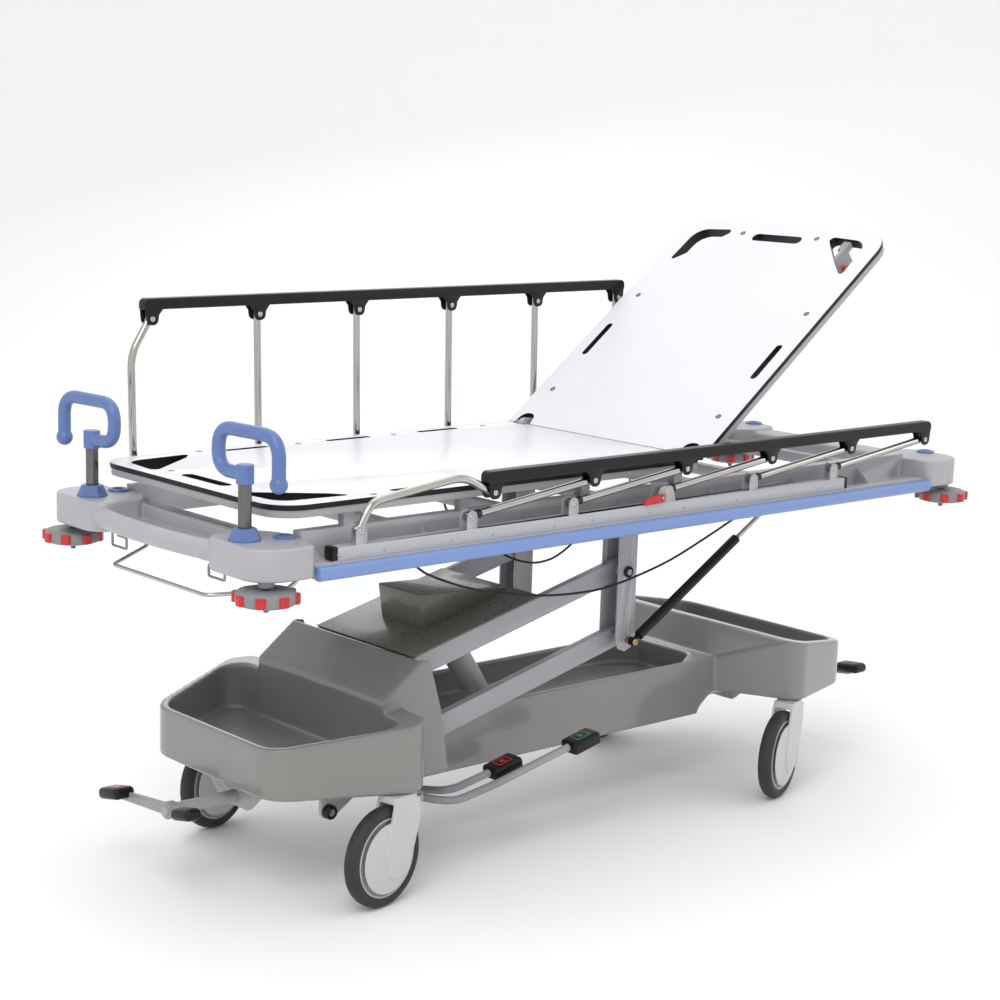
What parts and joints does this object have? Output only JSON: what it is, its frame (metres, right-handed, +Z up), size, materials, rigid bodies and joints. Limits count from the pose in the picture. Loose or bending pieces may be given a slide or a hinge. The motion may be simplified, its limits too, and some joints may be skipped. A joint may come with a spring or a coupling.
{
  "type": "hydraulic stretcher trolley",
  "caption": "Wheeled stretcher trolley with a lifting arm base, tilting deck, hinged backrest, folding side rails, castors and corner bumper rollers.",
  "frame": {"origin": "on the floor, midway between the bumper rollers along and across the trolley", "axes": "+X towards the head end with the backrest, +Y towards the side whose rail is raised, +Z up"},
  "size_m": [2.0674, 0.7934, 1.2739],
  "materials": {
    "base_grey": "glossy moulded shell",
    "frame_grey": "silver-grey powder coat",
    "moulding": "fine matt moulding",
    "laminate": "smooth white laminate",
    "blue": "satin blue coating",
    "strip_blue": "satin blue extrusion",
    "black": "satin black",
    "chrome": "polished",
    "steel": "satin grey enamel",
    "olive": "satin olive-grey enamel",
    "castor_grey": "satin light grey",
    "tyre": "matt grey rubber",
    "bumper_grey": "moulded roller",
    "red": "glossy red",
    "white": "white enamel"
  },
  "bodies": {
    "chassis": {"chassis_frame": "frame_grey", "base_cover": "base_grey"},
    "castor_foot_right": {"castor_fork_foot_right": "castor_grey"},
    "wheel_foot_right": {"castor_wheel_foot_right": "tyre"},
    "castor_foot_left": {"castor_fork_foot_left": "castor_grey"},
    "wheel_foot_left": {"castor_wheel_foot_left": "tyre"},
    "castor_head_right": {"castor_fork_head_right": "castor_grey"},
    "wheel_head_right": {"castor_wheel_head_right": "tyre"},
    "castor_head_left": {"castor_fork_head_left": "castor_grey"},
    "wheel_head_left": {"castor_wheel_head_left": "tyre"},
    "upper_arms": {"upper_lift_arms": "frame_grey", "lift_cover": "olive"},
    "lower_arms": {"lower_lift_arms": "frame_grey"},
    "posts": {"lift_posts": "frame_grey"},
    "pump_body": {"pump_barrel": "white"},
    "pump_piston": {"pump_ram": "chrome"},
    "deck": {"top_frame": "frame_grey", "foot_end_moulding": "moulding", "head_end_moulding": "moulding", "edge_strip_right": "strip_blue", "edge_strip_left": "strip_blue", "rail_base_right": "frame_grey", "rail_base_left": "frame_grey", "deck_board": "laminate", "deck_frame": "frame_grey", "tilt_cable": "black", "backrest_cable": "black", "rod_rack": "chrome"},
    "tilt_spring_body": {"tilt_spring_barrel": "black"},
    "tilt_spring_piston": {"tilt_spring_rod": "chrome"},
    "backrest": {"backrest_board": "laminate", "backrest_frame": "frame_grey"},
    "back_spring_body": {"back_spring_barrel": "black"},
    "back_spring_piston": {"back_spring_rod": "chrome"},
    "backrest_release": {"backrest_release": "red"},
    "handle_right": {"push_handle_right": "blue"},
    "handle_left": {"push_handle_left": "blue"},
    "bumper_foot_right": {"bumper_roller_foot_right": "bumper_grey"},
    "bumper_foot_left": {"bumper_roller_foot_left": "bumper_grey"},
    "bumper_head_right": {"bumper_roller_head_right": "bumper_grey"},
    "bumper_head_left": {"bumper_roller_head_left": "bumper_grey"},
    "pedal_raise": {"pedal_raise": "steel"},
    "pedal_lower": {"pedal_lower": "steel"},
    "brake": {"brake_shaft": "steel"},
    "rail_right_post_1": {"rail_post_right_1": "chrome"},
    "rail_right_post_2": {"rail_post_right_2": "chrome"},
    "rail_right_post_3": {"rail_post_right_3": "chrome"},
    "rail_right_post_4": {"rail_post_right_4": "chrome"},
    "rail_right_post_5": {"rail_post_right_5": "chrome"},
    "rail_right_post_6": {"rail_post_right_6": "chrome"},
    "rail_right_top": {"rail_top_right": "black"},
    "rail_right_latch": {"rail_latch_right": "red"},
    "rail_left_post_1": {"rail_post_left_1": "chrome"},
    "rail_left_post_2": {"rail_post_left_2": "chrome"},
    "rail_left_post_3": {"rail_post_left_3": "chrome"},
    "rail_left_post_4": {"rail_post_left_4": "chrome"},
    "rail_left_post_5": {"rail_post_left_5": "chrome"},
    "rail_left_post_6": {"rail_post_left_6": "chrome"},
    "rail_left_top": {"rail_top_left": "black"},
    "rail_left_latch": {"rail_latch_left": "red"}
  },
  "joints": [
    {"name": "swivel_foot_right", "type": "hinge", "parent": "chassis", "child": "castor_foot_right", "pos_m": [-0.6188, -0.289, 0.21], "axis": [0, 0, 1], "continuous": true},
    {"name": "roll_foot_right", "type": "hinge", "parent": "castor_foot_right", "child": "wheel_foot_right", "pos_m": [-0.66793, -0.29828, 0.1], "axis": [-0.1857, 0.9826, 0], "continuous": true},
    {"name": "swivel_foot_left", "type": "hinge", "parent": "chassis", "child": "castor_foot_left", "pos_m": [-0.6188, 0.289, 0.21], "axis": [0, 0, 1], "continuous": true},
    {"name": "roll_foot_left", "type": "hinge", "parent": "castor_foot_left", "child": "wheel_foot_left", "pos_m": [-0.66731, 0.2769, 0.1], "axis": [-0.2419, 0.9703, 0], "continuous": true},
    {"name": "swivel_head_right", "type": "hinge", "parent": "chassis", "child": "castor_head_right", "pos_m": [0.5265, -0.284, 0.21], "axis": [0, 0, 1], "continuous": true},
    {"name": "roll_head_right", "type": "hinge", "parent": "castor_head_right", "child": "wheel_head_right", "pos_m": [0.47973, -0.30167, 0.1], "axis": [-0.3535, 0.9354, 0], "continuous": true},
    {"name": "swivel_head_left", "type": "hinge", "parent": "chassis", "child": "castor_head_left", "pos_m": [0.5265, 0.284, 0.21], "axis": [0, 0, 1], "continuous": true},
    {"name": "roll_head_left", "type": "hinge", "parent": "castor_head_left", "child": "wheel_head_left", "pos_m": [0.47844, 0.27022, 0.1], "axis": [-0.2756, 0.9613, 0], "continuous": true},
    {"name": "lift", "type": "hinge", "parent": "chassis", "child": "upper_arms", "pos_m": [-0.47, 0, 0.4201], "axis": [0, -1, 0], "range_deg": [-14, 14]},
    {"name": "lift_lower_arms", "type": "hinge", "parent": "chassis", "child": "lower_arms", "pos_m": [-0.47, 0, 0.2713], "axis": [0, -1, 0], "range_deg": [-14, 14]},
    {"name": "lift_posts_level", "type": "hinge", "parent": "upper_arms", "child": "posts", "pos_m": [0.078, 0, 0.553], "axis": [0, -1, 0], "range_deg": [-14, 14]},
    {"name": "pump_lean", "type": "hinge", "parent": "chassis", "child": "pump_body", "pos_m": [-0.129, 0, 0.2125], "axis": [0, -1, 0], "range_deg": [-0.72, 0.72]},
    {"name": "pump_stroke", "type": "slide", "parent": "pump_body", "child": "pump_piston", "axis": [-0.5554, 0, 0.8316], "range_m": [-0.04204, 0.04204]},
    {"name": "tilt", "type": "hinge", "parent": "posts", "child": "deck", "pos_m": [0.078, 0, 0.7], "axis": [0, -1, 0], "range_deg": [-12, 12]},
    {"name": "tilt_spring_lean", "type": "hinge", "parent": "posts", "child": "tilt_spring_body", "pos_m": [0.078, -0.2155, 0.4037], "axis": [0, -1, 0], "range_deg": [-8.74, 8.74]},
    {"name": "tilt_spring_stroke", "type": "slide", "parent": "tilt_spring_body", "child": "tilt_spring_piston", "axis": [0.8525, 0, 0.5227], "range_m": [-0.05413, 0.05413]},
    {"name": "backrest_raise", "type": "hinge", "parent": "deck", "child": "backrest", "pos_m": [0.168, 0, 0.812], "axis": [0, -1, 0], "range_deg": [-37.9, 37.1]},
    {"name": "back_spring_lean", "type": "hinge", "parent": "deck", "child": "back_spring_body", "pos_m": [-0.205, 0.1, 0.742], "axis": [0, -1, 0], "range_deg": [-4.42, 4.32]},
    {"name": "back_spring_stroke", "type": "slide", "parent": "back_spring_body", "child": "back_spring_piston", "axis": [1, 0, 0.0069], "range_m": [-0.04254, 0.04164]},
    {"name": "backrest_release_pull", "type": "hinge", "parent": "backrest", "child": "backrest_release", "pos_m": [0.7149, -0.2185, 1.18389], "axis": [0, 1, 0], "range_deg": [0, 25], "stiffness_Nm_per_rad": 0.8, "springref_deg": -11.46},
    {"name": "handle_swivel_right", "type": "hinge", "parent": "deck", "child": "handle_right", "pos_m": [-0.969, -0.2635, 0.8515], "axis": [0, 0, 1], "range_deg": [-90, 90]},
    {"name": "handle_swivel_left", "type": "hinge", "parent": "deck", "child": "handle_left", "pos_m": [-0.969, 0.2635, 0.8445], "axis": [0, 0, 1], "range_deg": [-90, 90]},
    {"name": "bumper_spin_foot_right", "type": "hinge", "parent": "deck", "child": "bumper_foot_right", "pos_m": [-0.972, -0.335, 0.66], "axis": [0, 0, 1], "continuous": true},
    {"name": "bumper_spin_foot_left", "type": "hinge", "parent": "deck", "child": "bumper_foot_left", "pos_m": [-0.972, 0.335, 0.66], "axis": [0, 0, 1], "continuous": true},
    {"name": "bumper_spin_head_right", "type": "hinge", "parent": "deck", "child": "bumper_head_right", "pos_m": [0.972, -0.335, 0.66], "axis": [0, 0, 1], "continuous": true},
    {"name": "bumper_spin_head_left", "type": "hinge", "parent": "deck", "child": "bumper_head_left", "pos_m": [0.972, 0.335, 0.66], "axis": [0, 0, 1], "continuous": true},
    {"name": "pedal_raise_press", "type": "hinge", "parent": "chassis", "child": "pedal_raise", "pos_m": [-0.49, -0.174, 0.156], "axis": [0, 1, 0], "range_deg": [0, 12], "stiffness_Nm_per_rad": 25, "springref_deg": -20.05},
    {"name": "pedal_lower_press", "type": "hinge", "parent": "chassis", "child": "pedal_lower", "pos_m": [-0.49, -0.133, 0.156], "axis": [0, 1, 0], "range_deg": [0, 12], "stiffness_Nm_per_rad": 25, "springref_deg": -20.05},
    {"name": "brake_rock", "type": "hinge", "parent": "chassis", "child": "brake", "pos_m": [0, 0, 0.17], "axis": [1, 0, 0], "range_deg": [-12, 12]},
    {"name": "rail_right_fold", "type": "hinge", "parent": "deck", "child": "rail_right_post_1", "pos_m": [-0.7773, -0.346, 0.76], "axis": [0, -1, 0], "range_deg": [0, 83.9]},
    {"name": "rail_right_fold_2", "type": "hinge", "parent": "deck", "child": "rail_right_post_2", "pos_m": [-0.5128, -0.346, 0.76], "axis": [0, -1, 0], "range_deg": [0, 83.9]},
    {"name": "rail_right_fold_3", "type": "hinge", "parent": "deck", "child": "rail_right_post_3", "pos_m": [-0.2483, -0.346, 0.76], "axis": [0, -1, 0], "range_deg": [0, 83.9]},
    {"name": "rail_right_fold_4", "type": "hinge", "parent": "deck", "child": "rail_right_post_4", "pos_m": [0.0162, -0.346, 0.76], "axis": [0, -1, 0], "range_deg": [0, 83.9]},
    {"name": "rail_right_fold_5", "type": "hinge", "parent": "deck", "child": "rail_right_post_5", "pos_m": [0.2807, -0.346, 0.76], "axis": [0, -1, 0], "range_deg": [0, 83.9]},
    {"name": "rail_right_fold_6", "type": "hinge", "parent": "deck", "child": "rail_right_post_6", "pos_m": [0.5452, -0.346, 0.76], "axis": [0, -1, 0], "range_deg": [0, 83.9]},
    {"name": "rail_right_top_level", "type": "hinge", "parent": "rail_right_post_1", "child": "rail_right_top", "pos_m": [-0.45593, -0.346, 0.80117], "axis": [0, -1, 0], "range_deg": [-83.9, 0]},
    {"name": "rail_right_latch_lift", "type": "hinge", "parent": "deck", "child": "rail_right_latch", "pos_m": [-0.0038, -0.362, 0.749], "axis": [0, 1, 0], "range_deg": [0, 20], "stiffness_Nm_per_rad": 0.5, "springref_deg": -11.46},
    {"name": "rail_left_fold", "type": "hinge", "parent": "deck", "child": "rail_left_post_1", "pos_m": [-0.7773, 0.346, 0.76], "axis": [0, 1, 0], "range_deg": [0, 83.9]},
    {"name": "rail_left_fold_2", "type": "hinge", "parent": "deck", "child": "rail_left_post_2", "pos_m": [-0.5128, 0.346, 0.76], "axis": [0, 1, 0], "range_deg": [0, 83.9]},
    {"name": "rail_left_fold_3", "type": "hinge", "parent": "deck", "child": "rail_left_post_3", "pos_m": [-0.2483, 0.346, 0.76], "axis": [0, 1, 0], "range_deg": [0, 83.9]},
    {"name": "rail_left_fold_4", "type": "hinge", "parent": "deck", "child": "rail_left_post_4", "pos_m": [0.0162, 0.346, 0.76], "axis": [0, 1, 0], "range_deg": [0, 83.9]},
    {"name": "rail_left_fold_5", "type": "hinge", "parent": "deck", "child": "rail_left_post_5", "pos_m": [0.2807, 0.346, 0.76], "axis": [0, 1, 0], "range_deg": [0, 83.9]},
    {"name": "rail_left_fold_6", "type": "hinge", "parent": "deck", "child": "rail_left_post_6", "pos_m": [0.5452, 0.346, 0.76], "axis": [0, 1, 0], "range_deg": [0, 83.9]},
    {"name": "rail_left_top_level", "type": "hinge", "parent": "rail_left_post_1", "child": "rail_left_top", "pos_m": [-0.78409, 0.346, 1.08393], "axis": [0, 1, 0], "range_deg": [-83.9, 0]},
    {"name": "rail_left_latch_lift", "type": "hinge", "parent": "deck", "child": "rail_left_latch", "pos_m": [-0.0038, 0.362, 0.749], "axis": [0, 1, 0], "range_deg": [0, 20], "stiffness_Nm_per_rad": 0.5, "springref_deg": -11.46}
  ],
  "couplings": [
    {"joint": "lift_lower_arms", "follows": "lift", "ratio": 1},
    {"joint": "lift_posts_level", "follows": "lift", "ratio": -1},
    {"joint": "pump_lean", "follows": "lift", "ratio": -0.04681},
    {"joint": "pump_stroke", "follows": "lift", "m_per_rad": 0.16706},
    {"joint": "tilt_spring_lean", "follows": "tilt", "ratio": 0.69356},
    {"joint": "tilt_spring_stroke", "follows": "tilt", "m_per_rad": 0.25095},
    {"joint": "back_spring_lean", "follows": "backrest_raise", "ratio": 0.11098},
    {"joint": "back_spring_stroke", "follows": "backrest_raise", "m_per_rad": 0.06244},
    {"joint": "rail_right_fold_2", "follows": "rail_right_fold", "ratio": 1},
    {"joint": "rail_right_fold_3", "follows": "rail_right_fold", "ratio": 1},
    {"joint": "rail_right_fold_4", "follows": "rail_right_fold", "ratio": 1},
    {"joint": "rail_right_fold_5", "follows": "rail_right_fold", "ratio": 1},
    {"joint": "rail_right_fold_6", "follows": "rail_right_fold", "ratio": 1},
    {"joint": "rail_right_top_level", "follows": "rail_right_fold", "ratio": -1},
    {"joint": "rail_left_fold_2", "follows": "rail_left_fold", "ratio": 1},
    {"joint": "rail_left_fold_3", "follows": "rail_left_fold", "ratio": 1},
    {"joint": "rail_left_fold_4", "follows": "rail_left_fold", "ratio": 1},
    {"joint": "rail_left_fold_5", "follows": "rail_left_fold", "ratio": 1},
    {"joint": "rail_left_fold_6", "follows": "rail_left_fold", "ratio": 1},
    {"joint": "rail_left_top_level", "follows": "rail_left_fold", "ratio": -1}
  ]
}
